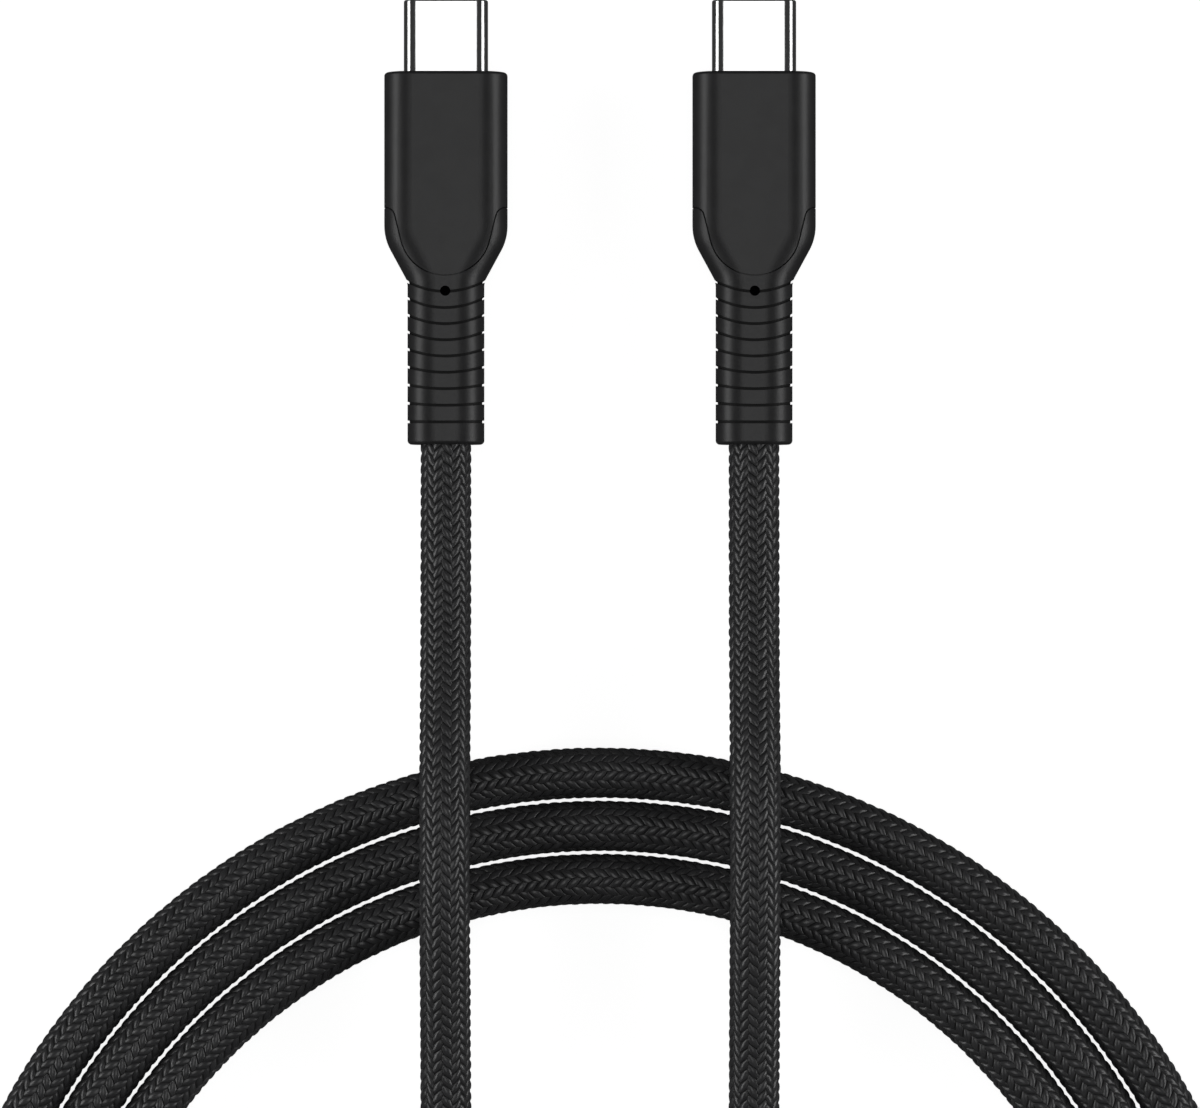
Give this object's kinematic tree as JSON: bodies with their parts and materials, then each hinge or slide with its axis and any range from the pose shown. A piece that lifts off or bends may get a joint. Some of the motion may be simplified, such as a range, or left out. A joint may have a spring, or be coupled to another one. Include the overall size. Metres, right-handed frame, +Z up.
{
  "type": "charging cable",
  "caption": "Braided charging cable with a USB-C plug on each end, both plugs side by side and the cable laid in a flat round coil.",
  "frame": {"origin": "on the table, midway between the two plugs and halfway along them", "axes": "+Y towards the plugs' tips, +X from plug A to plug B, +Z up from the table"},
  "size_m": [0.133, 0.2062, 0.015],
  "materials": {
    "cover": "satin moulded, black",
    "boot": "satin elastomer, black",
    "shell": "bright nickel plate",
    "insert": "moulded, black",
    "contact": "gold plate",
    "spring": "rolled strip",
    "board": "green solder mask",
    "chip": "moulded epoxy",
    "small_part": "ceramic with tinned ends",
    "can": "tinned sheet",
    "inner_mould": "natural polyethylene",
    "crimp": "copper",
    "wire_red": "extruded",
    "wire_black": "extruded",
    "wire_green": "extruded",
    "wire_white": "extruded",
    "wire_blue": "extruded",
    "sleeve": "braided yarn, black"
  },
  "bodies": {
    "cable": {"coil": "sleeve", "lead_a": "sleeve", "lead_b": "sleeve"},
    "plug_a": {"boot_a": "boot", "cable_end_a": "sleeve", "can_lower_a": "can", "can_upper_a": "can", "card_a": "board", "card_chip_a": "chip", "card_parts_a": "small_part", "contacts_lower_a": "contact", "contacts_upper_a": "contact", "crimp_ring_a": "crimp", "emi_spring_lower_a": "spring", "emi_spring_upper_a": "spring", "inner_mould_a": "inner_mould", "plug_cover_a": "cover", "plug_insert_a": "insert", "plug_shell_a": "shell", "side_latch_a": "spring", "wire_cc_a": "wire_blue", "wire_dminus_a": "wire_white", "wire_dplus_a": "wire_green", "wire_ground_a": "wire_black", "wire_vbus_a": "wire_red"},
    "plug_b": {"boot_b": "boot", "cable_end_b": "sleeve", "can_lower_b": "can", "can_upper_b": "can", "card_b": "board", "card_chip_b": "chip", "card_parts_b": "small_part", "contacts_lower_b": "contact", "contacts_upper_b": "contact", "crimp_ring_b": "crimp", "emi_spring_lower_b": "spring", "emi_spring_upper_b": "spring", "inner_mould_b": "inner_mould", "plug_cover_b": "cover", "plug_insert_b": "insert", "plug_shell_b": "shell", "side_latch_b": "spring", "wire_cc_b": "wire_blue", "wire_dminus_b": "wire_white", "wire_dplus_b": "wire_green", "wire_ground_b": "wire_black", "wire_vbus_b": "wire_red"}
  },
  "joints": [
    {"name": "plug_a_bend", "type": "hinge", "parent": "cable", "child": "plug_a", "pos_m": [-0.0151, -0.01375, 0.0031], "axis": [0, 0, 1], "range_deg": [-15, 40], "stiffness_Nm_per_rad": 0.02, "deforming": ["boot_a", "cable_end_a"]},
    {"name": "plug_b_bend", "type": "hinge", "parent": "cable", "child": "plug_b", "pos_m": [0.0151, -0.01375, 0.0031], "axis": [0, 0, 1], "range_deg": [-40, 15], "stiffness_Nm_per_rad": 0.02, "deforming": ["boot_b", "cable_end_b"]}
  ]
}
